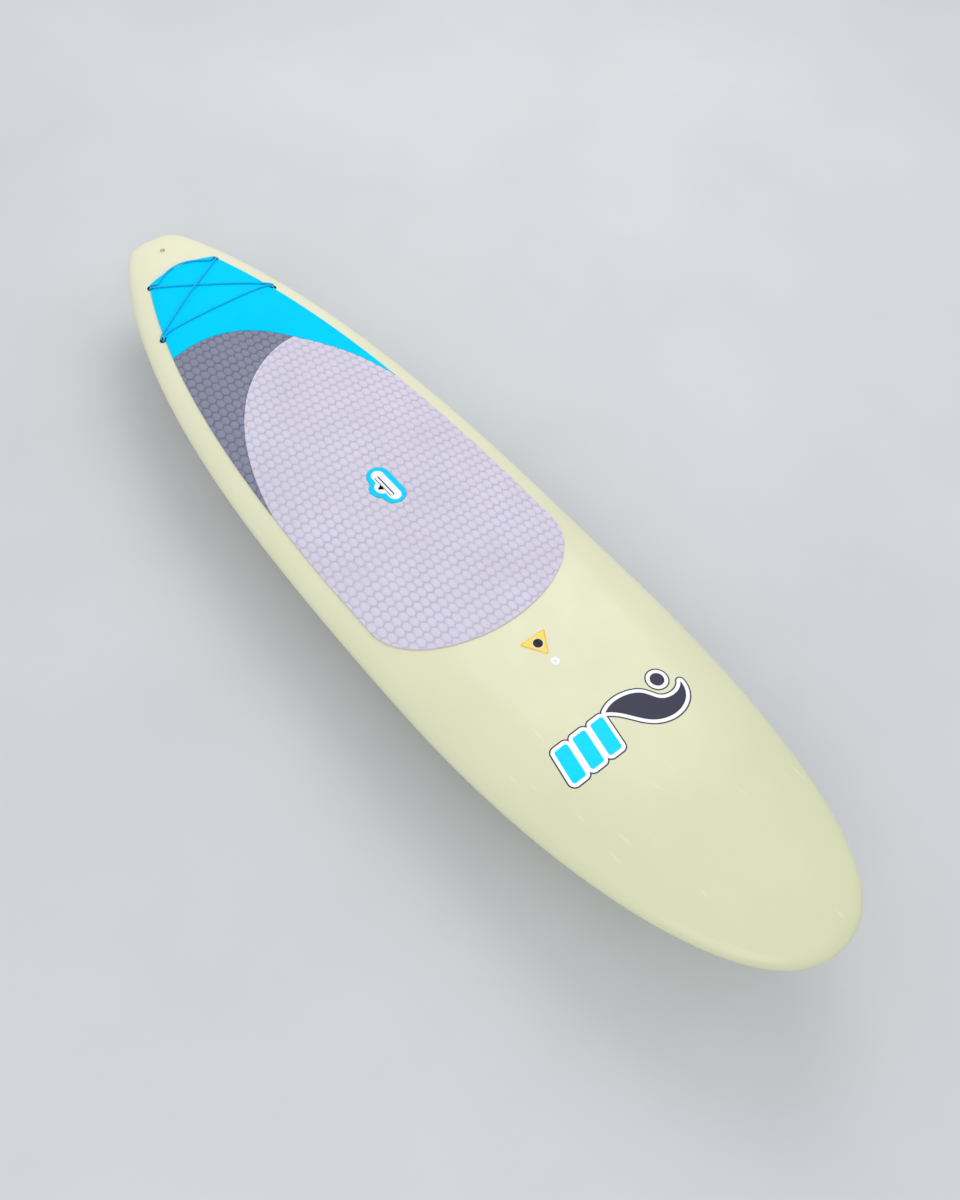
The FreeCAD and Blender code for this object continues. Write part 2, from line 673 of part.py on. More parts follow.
def plug_loop(place, first_side):
    """Axis of the cord round one bar: over the rim, down, under the bar and up again."""
    centre = -PLUG_BAR_DEPTH - BUNGEE_CUP[3]
    top = PAD + CORD_RADIUS + CORD_LOOP_RISE
    leg = [(x, top - drop) for x, drop in CORD_LOOP] + [(0, centre + 4)]
    local = [(x, CORD_LEG, z) for x, z in leg]
    for angle in (0.0, 0.25, 0.5, 0.75, 1.0):
        turn = math.pi * angle
        local.append((0, CORD_LEG * math.cos(turn), centre - CORD_LEG * math.sin(turn)))
    local.extend((x, -CORD_LEG, z) for x, z in reversed(leg))
    return [place.multVec(V(x, first_side * y, z)) for x, y, z in local]


def cord_run(start, end, count, bow, rise):
    """Points of the cord's axis between two plugs, lying on the pad."""
    points = []
    for k in range(1, count):
        t = k / count
        x = start.x + (end.x - start.x) * t - bow * 4 * t * (1 - t)
        y = start.y + (end.y - start.y) * t
        z = height(x, y / half_width(x), 1) + BOND + PAD + CORD_RADIUS + CORD_REST
        points.append(V(x, y, z + rise * math.exp(-((t - 0.5) / CORD_RISE_SPREAD) ** 2)))
    return points


def transported_sides(path):
    """Directions square to a closed path that turn as little as possible along it and meet at the ends."""
    count = len(path)
    tangents = [(path[(k + 1) % count] - path[k - 1]).normalize() for k in range(count)]
    side = tangents[0].cross(Z_AXIS).normalize()
    sides = [side]
    for tangent in tangents[1:] + tangents[:1]:
        side = (side - tangent * side.dot(tangent)).normalize()
        sides.append(side)
    twist = math.atan2(sides[-1].cross(sides[0]).dot(tangents[0]), sides[-1].dot(sides[0]))
    turned = []
    for k, tangent in enumerate(tangents):
        turned.append(FreeCAD.Rotation(tangent, math.degrees(twist * k / count)).multVec(sides[k]))
    return tangents, turned


def closed_tube(path, radius):
    """Round tube along a closed path, as one spline surface that closes both ways."""
    tangents, sides = transported_sides(path)
    shrink = (2 + math.cos(2 * math.pi / TUBE_POLES)) / 3
    rows = []
    for point, tangent, side in zip(path, tangents, sides):
        over = tangent.cross(side)
        ring_points = [side * math.cos(a) + over * math.sin(a) for a in circle_steps(TUBE_POLES)]
        rows.append([point + direction * (radius / shrink) for direction in ring_points])
    surface = Part.BSplineSurface()
    along, across = list(range(len(path) + 1)), list(range(TUBE_POLES + 1))
    surface.buildFromPolesMultsKnots(
        rows, [1] * len(along), [1] * len(across), along, across, True, True, 3, 3
    )
    solid = Part.makeSolid(Part.makeShell([surface.toShape()]))
    if solid.Volume < 0:
        solid.reverse()
    return solid


def make_cord():
    """Shock cord: one closed loop, straight across in front, crossed in the middle and slack behind."""
    front_port, front_starboard, rear_starboard, rear_port = PLUG_SEATS
    loops = [
        plug_loop(front_port, -1),
        plug_loop(front_starboard, -1),
        plug_loop(rear_port, 1),
        plug_loop(rear_starboard, 1),
    ]
    runs = [(8, 0, 0), (12, 0, CORD_RISE), (8, CORD_SLACK, 0), (12, 0, 0)]
    path = []
    for k, (count, bow, rise) in enumerate(runs):
        path += loops[k]
        path += cord_run(loops[k][-1], loops[(k + 1) % 4][0], count, bow, rise)
    save("bungee_cord", closed_tube(path, CORD_RADIUS))


# ---- fin box and fin: Z points out of the hull and X forward ----

def fin_box_body():
    """Outside of the fin box with its flange."""
    length, width, depth = FIN_BOX
    flange_length, flange_width, flange = FIN_BOX_FLANGE
    flange_plate = stadium(flange_length, flange_width, -flange, PROUD)
    return stadium(length, width, -depth, PROUD).fuse(flange_plate).removeSplitter()


def make_fin_box():
    """Long box with a slot for the fin and a wider channel inside for its pin and nut plate."""
    slot_length, slot_width, slot_depth = FIN_SLOT
    channel_width, channel_top, channel_bottom = FIN_CHANNEL
    slot = stadium(slot_length, slot_width, -slot_depth, 2 * PROUD)
    channel = box(slot_length - slot_width, channel_width, -channel_bottom, -channel_top)
    mouth = box(FIN_MOUTH, channel_width, -channel_top, 2 * PROUD)
    body = placed(fin_box_body().cut(slot).cut(channel).cut(mouth), FIN_SEAT)
    save("fin_box", body.common(BOARD))


def foil_row(chord, leading_x, z):
    """Control points of one section, from the trailing edge round the leading edge and back."""
    port = []
    for k in range(FIN_COLUMNS, 0, -1):
        t = (k / FIN_COLUMNS) ** 2
        half = FIN_FOIL * chord * 1.3 * math.sqrt(t) * (1 - t)
        port.append((leading_x - chord * t, half + FIN_TRAILING * t))
    round_nose = port[-1][1]
    port.append((leading_x, round_nose))
    return [V(x, y, z) for x, y in port + [mirrored(point) for point in reversed(port)]]


def fin_blade():
    """Raked blade that narrows to a rounded tip, with a blunt trailing edge."""
    rows = []
    for t in FIN_LEVELS:
        chord = FIN_CHORD * (1 - FIN_TAPER * t) * math.sqrt(1 - 0.975 * t ** 4)
        leading_x = FIN_LEADING_X - FIN_RAKE * t ** 1.35
        rows.append(foil_row(chord, leading_x, FIN_GAP + FIN_DEPTH * t))
    surface = spline_surface(rows)
    faces = [surface.toShape()]
    for end in (surface.uIso(0.0).toShape(), surface.uIso(1.0).toShape()):
        closing = Part.makeLine(end.Vertexes[0].Point, end.Vertexes[-1].Point)
        faces.append(Part.Face(Part.Wire([end, closing])))
    faces.append(Part.makeRuledSurface(surface.vIso(0.0).toShape(), surface.vIso(1.0).toShape()))
    return closed_solid(faces)


def make_fin():
    """Blade and its tab, the cross pin behind, and the screw with its nut plate in front."""
    length, width, depth = FIN_TAB
    ear, ear_low, ear_high = FIN_EAR
    tab = box(length - ear, width, -depth, FIN_GAP, -ear / 2)
    lug_length = ear + FIN_EAR_ROOT
    lug = stadium(lug_length, width, ear_low, ear_high, (length - lug_length) / 2)
    pin_radius, pin_length, pin_inset = FIN_PIN
    pin_level = -(FIN_CHANNEL[1] + FIN_CHANNEL[2]) / 2
    pin = bar_along("y", pin_radius, pin_length, pin_level, pin_inset - length / 2)
    screw_x = length / 2 - FIN_SCREW_INSET
    stem_radius, stem_end = FIN_SCREW_STEM
    hole = disc(stem_radius + RUNNING, 2 * stem_end, 0, screw_x)
    fin = fin_blade().fuse(tab).fuse(lug).cut(pin).cut(hole).removeSplitter()
    save("fin", placed(fin, FIN_SEAT))
    save("fin_cross_pin", placed(pin, FIN_SEAT))
    head_radius, head_low, head_high = FIN_SCREW_HEAD
    head = disc(head_radius, head_low, head_high, screw_x)
    screw = head.fuse(disc(stem_radius, stem_end, head_low, screw_x))
    arm, arm_width, floor = FIN_SCREW_DRIVE
    drive = box(arm, arm_width, floor, PROUD, screw_x).fuse(box(arm_width, arm, floor, PROUD, screw_x))
    save("fin_screw", placed(screw.removeSplitter().cut(drive), FIN_SEAT))
    plate_length, plate_width, plate_depth = NUT_PLATE
    nut_top = -FIN_CHANNEL[1] - RUNNING
    nut = box(plate_length, plate_width, nut_top - plate_depth, nut_top, screw_x)
    save("fin_nut_plate", placed(nut.cut(hole), FIN_SEAT))


# ---- nose graphic ----

def graphic_layer(low, high):
    """Thin layer over the deck between two heights."""
    return layer(board_surface(1, 0, low), board_surface(1, 0, high))


def slanted_bars():
    """Flat faces of the cyan bars."""
    aft, fore = BAR_ENDS
    bars = []
    for k in range(BARS):
        high = BAR_FIRST_Y - BAR_PITCH * k
        low = high - BAR_WIDTH
        corners = [(aft, high), (aft, low), (fore, low - BAR_SLANT), (fore, high - BAR_SLANT)]
        solid = rounded_prism(polygon(corners, 0, 1), BAR_ROUND)
        bars.append(min(solid.Faces, key=lambda face: face.CenterOfMass.z))
    return bars


def beside(curve, u, margin):
    """Point at a distance to the right of a curve, and the curve's direction there."""
    direction = curve.tangent(u)[0]
    return curve.value(u) + V(direction.y, -direction.x, 0) * margin, direction


def round_tip(first, second, margin):
    """Arc round the sharp tip where the first curve ends and the second starts."""
    start, forward = beside(first, first.LastParameter, margin)
    end, back = beside(second, second.FirstParameter, margin)
    middle = first.value(first.LastParameter) + (forward - back).normalize() * margin
    return Part.Arc(start, middle, end).toShape()


def wave(margin):
    """Flat face of the wave, widened by a margin."""
    curves = [spline(WAVE_CREST), spline(WAVE_TROUGH)]
    if not margin:
        return Part.Face(Part.Wire([curve.toShape() for curve in curves]))
    edges = []
    for curve, following in (curves, reversed(curves)):
        reach = curve.LastParameter - curve.FirstParameter
        places = [curve.FirstParameter + reach * k / WAVE_SAMPLES for k in range(WAVE_SAMPLES + 1)]
        side = [beside(curve, u, margin)[0] for u in places]
        edges.append(spline([(point.x, point.y) for point in side]).toShape())
        edges.append(round_tip(curve, following, margin))
    return Part.Face(Part.Wire(edges))


def upright(faces):
    """Upright solids over flat faces, joined where they overlap."""
    solids = [face.extrude(V(0, 0, TALL)) for face in faces]
    return solids[0].multiFuse(solids[1:])


def navy_marks(margin=0.0):
    """Wave and the round mark under its crest, widened by a margin."""
    x, y, radius = DROP
    drop = Part.Face(Part.Wire(Part.makeCircle(radius + margin, V(x, y, 0))))
    return [wave(margin), drop]


def all_marks(margin):
    """Upright solid over every mark, widened by a margin."""
    bars = [bar.makeOffset2D(margin) for bar in slanted_bars()]
    return upright(bars + navy_marks(margin))


def make_graphic():
    """Generic graphic across the nose: a navy wave to port and cyan bars to starboard, edged in white."""
    ground_top = STICKER_GAP + DECAL
    base = graphic_layer(STICKER_GAP, ground_top)
    inks = graphic_layer(ground_top + STICKER_GAP, ground_top + STICKER_GAP + DECAL)
    border = base.common(all_marks(KEYLINE + OUTLINE)).cut(all_marks(KEYLINE + RUNNING))
    save("graphic_outline", group([border]))
    save("graphic_ground", group([base.common(all_marks(KEYLINE))]))
    save("graphic_cyan", group([inks.common(upright(slanted_bars()))]))
    save("graphic_navy", group([inks.common(upright(navy_marks()))]))


def main():
    os.makedirs("parts", exist_ok=True)
    make_skins()
    make_core()
    make_pads()
    make_handle()
    make_vent()
    make_triangle()
    make_breather()
    make_plugs()
    make_cord()
    make_fin_box()
    make_fin()
    make_graphic()


main()
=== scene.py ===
import math

import bpy
import numpy as np
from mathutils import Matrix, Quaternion, Vector
from mathutils.geometry import delaunay_2d_cdt


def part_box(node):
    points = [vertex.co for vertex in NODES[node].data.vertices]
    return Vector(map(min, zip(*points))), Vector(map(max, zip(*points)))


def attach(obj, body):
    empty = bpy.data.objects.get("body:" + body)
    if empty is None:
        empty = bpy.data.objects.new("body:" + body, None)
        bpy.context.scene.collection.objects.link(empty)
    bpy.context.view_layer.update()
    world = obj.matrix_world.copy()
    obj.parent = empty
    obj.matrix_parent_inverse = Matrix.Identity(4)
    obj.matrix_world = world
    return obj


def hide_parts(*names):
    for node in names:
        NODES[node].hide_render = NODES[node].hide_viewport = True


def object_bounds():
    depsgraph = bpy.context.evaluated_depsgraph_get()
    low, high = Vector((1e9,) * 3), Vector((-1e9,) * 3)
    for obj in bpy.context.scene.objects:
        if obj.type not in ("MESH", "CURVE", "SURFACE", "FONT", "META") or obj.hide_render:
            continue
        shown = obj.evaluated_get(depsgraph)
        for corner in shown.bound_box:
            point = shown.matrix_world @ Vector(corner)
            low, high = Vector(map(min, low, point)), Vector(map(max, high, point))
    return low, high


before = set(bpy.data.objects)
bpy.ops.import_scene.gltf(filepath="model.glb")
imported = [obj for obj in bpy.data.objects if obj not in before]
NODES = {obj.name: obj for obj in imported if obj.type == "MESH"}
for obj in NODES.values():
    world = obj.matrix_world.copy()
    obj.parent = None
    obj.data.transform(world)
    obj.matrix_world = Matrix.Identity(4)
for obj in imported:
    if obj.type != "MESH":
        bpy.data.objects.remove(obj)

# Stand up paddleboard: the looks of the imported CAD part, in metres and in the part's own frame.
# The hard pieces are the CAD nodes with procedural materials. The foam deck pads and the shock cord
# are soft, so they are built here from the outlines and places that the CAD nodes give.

CAD_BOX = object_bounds()
MM = 0.001

# Fit of a smooth surface to the deck, over the part that carries the pads and the plugs
DECK_HALF_LENGTH = 1.6
DECK_HALF_WIDTH = 0.42
DECK_DEGREES = (14, 6)           # of the polynomials along and across the board
FIT_X = (-1.5, 0.7)
FIT_HALF_WIDTH = 0.37
FACES_UP = 0.4                   # least upward share of the normal of a face that counts as facing up

# Embossed foam: long hexagons in columns, every second column half a step to the side
CELL_PITCH_X = 32.5 * MM
CELL_PITCH_Y = 26.0 * MM
CELL_HALF = 20.75 * MM           # from the middle of a cell to its pointed end
CELL_SHOULDER = 11.75 * MM       # half the length of its straight sides
GROOVE = 3.6 * MM
GROOVE_DEPTH = 1.6 * MM
GROOVE_SLOPE = 1.6 * MM
STRAIGHT_GROOVE = 0.45           # depth of the grooves along the straight sides, next to the slanted ones
PAD_ROUND = 1.6 * MM             # rounding of a pad's top edge
RIM_SHARES = (0.13, 0.5, 1.0)    # rings of points round the rim, as shares of its rounding
PAD_UNDER_STEP = 30 * MM         # spacing of the points that let a flat sheet follow the deck
PAD_SMOOTH_STEP = 14 * MM
PAD_BASE = 0.3 * MM              # glue line under the pads
PAD_THICKNESS = 5.0 * MM

# Shock cord, as in the CAD: an axis round each plug's bar and runs lying on the pads
CORD_RADIUS = 3.0 * MM
CORD_LEG = 5.2 * MM              # from a bar's axis to the cord's axis
CORD_LEG_PATH = [(26 * MM, 0), (17 * MM, 0), (9 * MM, 0), (3 * MM, 1 * MM), (0, 4 * MM), (0, 10.4 * MM)]
CORD_TURN_POINTS = 9             # control points of the half turn under a bar
CORD_LOOP_RISE = 1.5 * MM
PLUG_BAR_DEPTH = 4.9 * MM        # from the deck down to a bar's axis
CORD_CROSSING_X = -1290 * MM
CORD_RISE = 7.5 * MM             # of the upper diagonal where the two cross
CORD_RISE_SPREAD = 0.16
CORD_SLACK = 42 * MM
CORD_REST = 0.6 * MM
CORD_STEP = 0.75 * MM            # between rings of points
CORD_AROUND = 24
BRAID_STRANDS = 6
BRAID_STEPS = 3                  # rings over half a braid
BRAID_RELIEF = 0.35 * MM

SHARP_ANGLE = 50                 # degrees between faces above which an edge stays sharp

# Stage; the lights are given by place, diameter, watts and colour
FLOOR_REACH = 60.0
FLOOR_GAP = 0.002                # between the floor and the tip of the fin
FLOOR_COLOURS = ((0.60, 0.61, 0.62), (0.64, 0.65, 0.66))
SKY_COLOUR = (0.93, 0.96, 1.0, 1)
SKY_STRENGTH = 0.85
KEY_LIGHT = ((-2.2, 2.6, 4.2), 3.5, 75, (1.0, 0.98, 0.95))
FILL_LIGHT = ((2.6, -2.4, 3.4), 3.0, 35, (0.95, 0.97, 1.0))
CAMERA_PLACE = (1.537, -1.4325, 3.044)
CAMERA_AIM = (0.2525, -0.0367, 0.120)
CAMERA_ROLL = 8.8687             # degrees about the line of sight
CAMERA_LENS = 36.015
CAMERA_SENSOR = 36.0


# ---- material building blocks ----

class Shader:
    """Node tree of one material, built from left to right."""

    def __init__(self, name, metallic=0.0, coat=0.0, sheen=0.0, gloss=0.5):
        self.material = bpy.data.materials.new(name)
        self.material.use_nodes = True
        self.tree = self.material.node_tree
        self.surface = self.tree.nodes["Principled BSDF"]
        self.surface.inputs["Metallic"].default_value = metallic
        self.surface.inputs["Specular IOR Level"].default_value = gloss
        self.surface.inputs["Coat Weight"].default_value = coat
        self.surface.inputs["Coat Roughness"].default_value = 0.12
        self.surface.inputs["Sheen Weight"].default_value = sheen
        self.place = self.node("ShaderNodeTexCoord").outputs["Object"]

    def node(self, kind, **settings):
        made = self.tree.nodes.new(kind)
        for key, value in settings.items():
            setattr(made, key, value)
        return made

    def link(self, source, target):
        self.tree.links.new(source, target)
        return target.node

    def stretched(self, stretch):
        """Coordinates scaled by a factor along each axis."""
        mapping = self.node("ShaderNodeMapping")
        mapping.inputs["Scale"].default_value = stretch
        self.link(self.place, mapping.inputs["Vector"])
        return mapping.outputs["Vector"]

    def noise(self, size, detail=3.0, stretch=(1, 1, 1)):
        """Smooth noise whose features are about this size."""
        made = self.node("ShaderNodeTexNoise")
        made.inputs["Scale"].default_value = 1 / size
        made.inputs["Detail"].default_value = detail
        self.link(self.stretched(stretch), made.inputs["Vector"])
        return made.outputs["Fac"]

    def cells(self, size, feature="F1"):
        """Distance to the nearest point of a scattered set: beads, pores or grains."""
        made = self.node("ShaderNodeTexVoronoi", feature=feature)
        made.inputs["Scale"].default_value = 1 / size
        self.link(self.place, made.inputs["Vector"])
        return made.outputs["Distance"]

    def ramp(self, value, low, high, at_low=0.0, at_high=1.0):
        """Value mapped from one range to another, and kept inside it."""
        made = self.node("ShaderNodeMapRange", clamp=True)
        self.link(value, made.inputs["Value"])
        limits = {"From Min": low, "From Max": high, "To Min": at_low, "To Max": at_high}
        for key, number in limits.items():
            made.inputs[key].default_value = number
        return made.outputs["Result"]

    def mixed(self, factor, first, second):
        """Blend of two colours; either may be a node's output."""
        made = self.node("ShaderNodeMix", data_type="RGBA")
        self.link(factor, made.inputs["Factor"])
        for socket, colour in ((made.inputs[6], first), (made.inputs[7], second)):
            if isinstance(colour, bpy.types.NodeSocket):
                self.link(colour, socket)
            else:
                socket.default_value = (*colour, 1)
        return made.outputs[2]

    def plane_distance(self, normal, offset):
        """Distance from a plane, given by its normal and its distance from the origin along it."""
        made = self.node("ShaderNodeVectorMath", operation="DOT_PRODUCT")
        self.link(self.place, made.inputs[0])
        made.inputs[1].default_value = normal
        moved = self.node("ShaderNodeMath", operation="SUBTRACT")
        self.link(made.outputs["Value"], moved.inputs[0])
        moved.inputs[1].default_value = offset
        return moved.outputs["Value"]

    def smallest(self, values):
        """The least of several values."""
        least = values[0]
        for value in values[1:]:
            made = self.node("ShaderNodeMath", operation="MINIMUM")
            self.link(least, made.inputs[0])
            self.link(value, made.inputs[1])
            least = made.outputs["Value"]
        return least

    def axis(self, name):
        """One coordinate of the point being shaded."""
        made = self.node("ShaderNodeSeparateXYZ")
        self.link(self.place, made.inputs["Vector"])
        return made.outputs[name]

    def colour(self, socket):
        self.link(socket, self.surface.inputs["Base Color"])

    def roughness(self, value, low, high):
        self.link(self.ramp(value, 0.3, 0.7, low, high), self.surface.inputs["Roughness"])

    def relief(self, *bumps, edge=0.0):
        """Bumps as (value, height in metres) stacked on each other, over edges rounded by a radius."""
        normal = None
        if edge:
            rounded = self.node("ShaderNodeBevel", samples=4)
            rounded.inputs["Radius"].default_value = edge
            normal = rounded.outputs["Normal"]
        for value, height in bumps:
            bump = self.node("ShaderNodeBump")
            bump.inputs["Strength"].default_value = 1.0
            bump.inputs["Distance"].default_value = height
            self.link(value, bump.inputs["Height"])
            if normal:
                self.link(normal, bump.inputs["Normal"])
            normal = bump.outputs["Normal"]
        self.link(normal, self.surface.inputs["Normal"])


def linear(red, green, blue):
    """Colour given as screen values of 0 to 255."""
    values = []
    for level in (red, green, blue):
        share = level / 255
        values.append(share / 12.92 if share <= 0.04045 else ((share + 0.055) / 1.055) ** 2.4)
    return tuple(values)


def scaled(colour, factor):
    return tuple(min(level * factor, 1.0) for level in colour)


# ---- materials ----

def board_paint():
    """Satin cream paint, warmer at the tail and greener and darker at the nose, partly the paint's own
    tone and partly painted shade, with faint scuffs and orange peel.
    """
    shader = Shader("board_paint", coat=0.25)
    # Partly painted shade: the colour runs from the tail's to the darker nose colour along the board.
    along = shader.ramp(shader.axis("X"), CAD_BOX[0][0], CAD_BOX[1][0])
    clean = shader.mixed(along, PAINT_TAIL, PAINT_NOSE_AND_SHADE)
    faded = shader.mixed(along, scaled(PAINT_TAIL, 0.965), scaled(PAINT_NOSE_AND_SHADE, 0.955))
    tint = shader.mixed(shader.ramp(shader.noise(0.35, 4), 0.35, 0.7), clean, faded)
    scuffs = shader.noise(0.02, 6, (0.12, 1, 1))
    worn = shader.ramp(scuffs, 0.68, 0.74, 0.0, 0.30)
    shader.colour(shader.mixed(worn, tint, linear(240, 240, 222)))
    shader.roughness(shader.noise(0.06, 5), 0.30, 0.44)
    shader.relief((shader.noise(0.004, 2), 0.00006), (scuffs, 0.00004))
    return shader.material


def foam_pad(name, colour, groove_shade_colour, gloss=0.12):
    """Closed-cell foam: fine pores with painted shade in them, uneven fading, and painted shade darkening
    the pressed grooves.
    """
    shader = Shader(name, gloss=gloss)
    fading = shader.ramp(shader.noise(0.16, 5), 0.3, 0.7)
    pores = shader.cells(0.0011)
    tint = shader.mixed(fading, scaled(colour, 0.96), scaled(colour, 1.03))
    # Painted shade: the foam is darkened at the middle of each pore, where the pore bumps dip in.
    pore_shade = shader.ramp(pores, 0.05, 0.35, 0.3, 0.0)
    tint = shader.mixed(pore_shade, tint, scaled(colour, 0.82))
    # Painted shade: the colour darkens towards the groove colour where the foam is pressed into grooves,
    # by a noisy amount.
    pressed = shader.node("ShaderNodeAttribute", attribute_name="pressed").outputs["Fac"]
    groove_shade = shader.node("ShaderNodeMath", operation="MULTIPLY")
    shader.link(pressed, groove_shade.inputs[0])
    shader.link(shader.ramp(shader.noise(0.05, 5), 0.3, 0.7, 0.6, 1.0), groove_shade.inputs[1])
    shader.colour(shader.mixed(groove_shade.outputs["Value"], tint, groove_shade_colour))
    shader.roughness(shader.noise(0.03, 4), 0.74, 0.9)
    shader.relief((pores, 0.00015), (shader.noise(0.006, 4), 0.00012))
    return shader.material


def plastic(name, colour, roughness=(0.32, 0.48), edge=0.0006, gloss=0.5):
    """Moulded plastic or vinyl: fine moulding grain and slight mottling."""
    shader = Shader(name, gloss=gloss)
    mottle = shader.ramp(shader.noise(0.012, 5), 0.3, 0.7)
    shader.colour(shader.mixed(mottle, scaled(colour, 0.95), scaled(colour, 1.02)))
    shader.roughness(shader.noise(0.006, 5), *roughness)
    shader.relief((shader.noise(0.0009, 2), 0.00003), edge=edge)
    return shader.material


def metal(name, colour, brush, roughness=(0.22, 0.4)):
    """Brushed metal with hairlines along one axis."""
    shader = Shader(name, metallic=1.0)
    hair = shader.noise(0.0006, 5, brush)
    shader.colour(shader.mixed(shader.ramp(hair, 0.3, 0.7), scaled(colour, 0.8), scaled(colour, 1.1)))
    shader.roughness(hair, *roughness)
    shader.relief((hair, 0.00002), edge=0.0003)
    return shader.material


def beads(name, colour, size):
    """Expanded foam: pressed beads with darker seams."""
    shader = Shader(name)
    seams = shader.cells(size, "DISTANCE_TO_EDGE")
    seam = shader.ramp(seams, 0.0, 0.12, 0.6, 0.0)
    shader.colour(shader.mixed(seam, colour, scaled(colour, 0.75)))
    shader.roughness(shader.noise(size, 3), 0.7, 0.9)
    shader.relief((seams, size * 0.15))
    return shader.material


def wood(name, light, dark):
    """Straight grain along the board."""
    shader = Shader(name)
    rings = shader.noise(0.004, 6, (0.04, 1, 1))
    shader.colour(shader.mixed(shader.ramp(rings, 0.35, 0.65), dark, light))
    shader.roughness(rings, 0.5, 0.7)
    shader.relief((rings, 0.0001))
    return shader.material


def membrane(name, colour):
    """Fine woven film."""
    shader = Shader(name)
    weave = shader.node("ShaderNodeTexChecker")
    weave.inputs["Scale"].default_value = 1 / 0.0006
    shader.link(shader.place, weave.inputs["Vector"])
    shader.colour(shader.mixed(weave.outputs["Fac"], colour, scaled(colour, 0.8)))
    shader.roughness(shader.noise(0.002, 3), 0.6, 0.8)
    shader.relief((weave.outputs["Fac"], 0.00005))
    return shader.material


def yellow_sign():
    """Yellow vinyl with an amber line along its three sides."""
    shader = Shader("yellow_vinyl", gloss=0.35)
    low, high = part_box("vent_triangle")
    base, tip, half_base = low.x, high.x + SIGN_TIP_ROUNDING, high.y
    slope = math.atan2(half_base, tip - base)
    depths = [shader.plane_distance((1, 0, 0), base)]
    for side in (1, -1):
        inward = (-math.sin(slope), -side * math.cos(slope), 0)
        depths.append(shader.plane_distance(inward, -math.sin(slope) * tip))
    edge = shader.ramp(shader.smallest(depths), SIGN_LINE[0], SIGN_LINE[1], 1.0, 0.0)
    mottle = shader.ramp(shader.noise(0.02, 4), 0.3, 0.7)
    face = shader.mixed(mottle, SIGN_YELLOW, scaled(SIGN_YELLOW, 0.93))
    shader.colour(shader.mixed(edge, face, SIGN_AMBER))
    shader.roughness(shader.noise(0.008, 4), 0.3, 0.45)
    shader.relief((shader.noise(0.003, 3), 0.00003), edge=0.0002)
    return shader.material


def fin_resin():
    """Dark glass-filled resin: faint chopped fibres under a smooth surface."""
    shader = Shader("fin_resin", coat=0.5)
    fibres = shader.noise(0.0025, 6, (0.15, 1, 1))
    cross = shader.noise(0.0025, 6, (1, 1, 0.15))
    tint = shader.mixed(shader.ramp(fibres, 0.5, 0.7, 0, 0.6), linear(34, 36, 41), linear(62, 66, 74))
    shader.colour(shader.mixed(shader.ramp(cross, 0.5, 0.7, 0, 0.6), tint, linear(55, 58, 66)))
    shader.roughness(shader.noise(0.02, 4), 0.22, 0.36)
    shader.relief((fibres, 0.00003), edge=0.0006)
    return shader.material


def braid():
    """Nylon sheath woven from fine yarns, with a few darker flecks."""
    shader = Shader("cord_sheath", gloss=0.2)
    yarn = shader.noise(0.0009, 4)
    flecks = shader.ramp(shader.cells(0.004), 0.05, 0.3, 0.5, 0.0)
    tint = shader.mixed(shader.ramp(yarn, 0.3, 0.7), linear(4, 172, 216), linear(8, 200, 240))
    shader.colour(shader.mixed(flecks, tint, linear(8, 135, 180)))
    shader.roughness(yarn, 0.55, 0.8)
    shader.relief((yarn, 0.0001))
    return shader.material


PAINT_TAIL = linear(232, 229, 198)
# Nose colour: the paint's own tone with painted shade, darker than the tail's
PAINT_NOSE_AND_SHADE = linear(213, 214, 174)
SIGN_YELLOW = linear(252, 222, 88)
SIGN_AMBER = linear(240, 178, 70)
SIGN_LINE = (0.8 * MM, 3.2 * MM)     # from the edge: solid amber, then fading out
SIGN_TIP_ROUNDING = 2.4 * MM
CYAN = linear(0, 206, 250)
CYAN_SHADE = linear(0, 185, 232)
LIGHT_FOAM = linear(212, 206, 221)
# Darker colour painted into the grooves of the light foam as shade
LIGHT_GROOVE_SHADE = linear(190, 184, 201)
DARK_FOAM = linear(137, 138, 157)
# Darker colour painted into the grooves of the dark foam as shade
DARK_GROOVE_SHADE = linear(110, 110, 129)
WHITE = linear(238, 239, 243)
DARK = linear(24, 22, 27)

board = board_paint()
white = plastic("white_plastic", WHITE)
black = plastic("black_plastic", DARK, (0.4, 0.6), gloss=0.3)
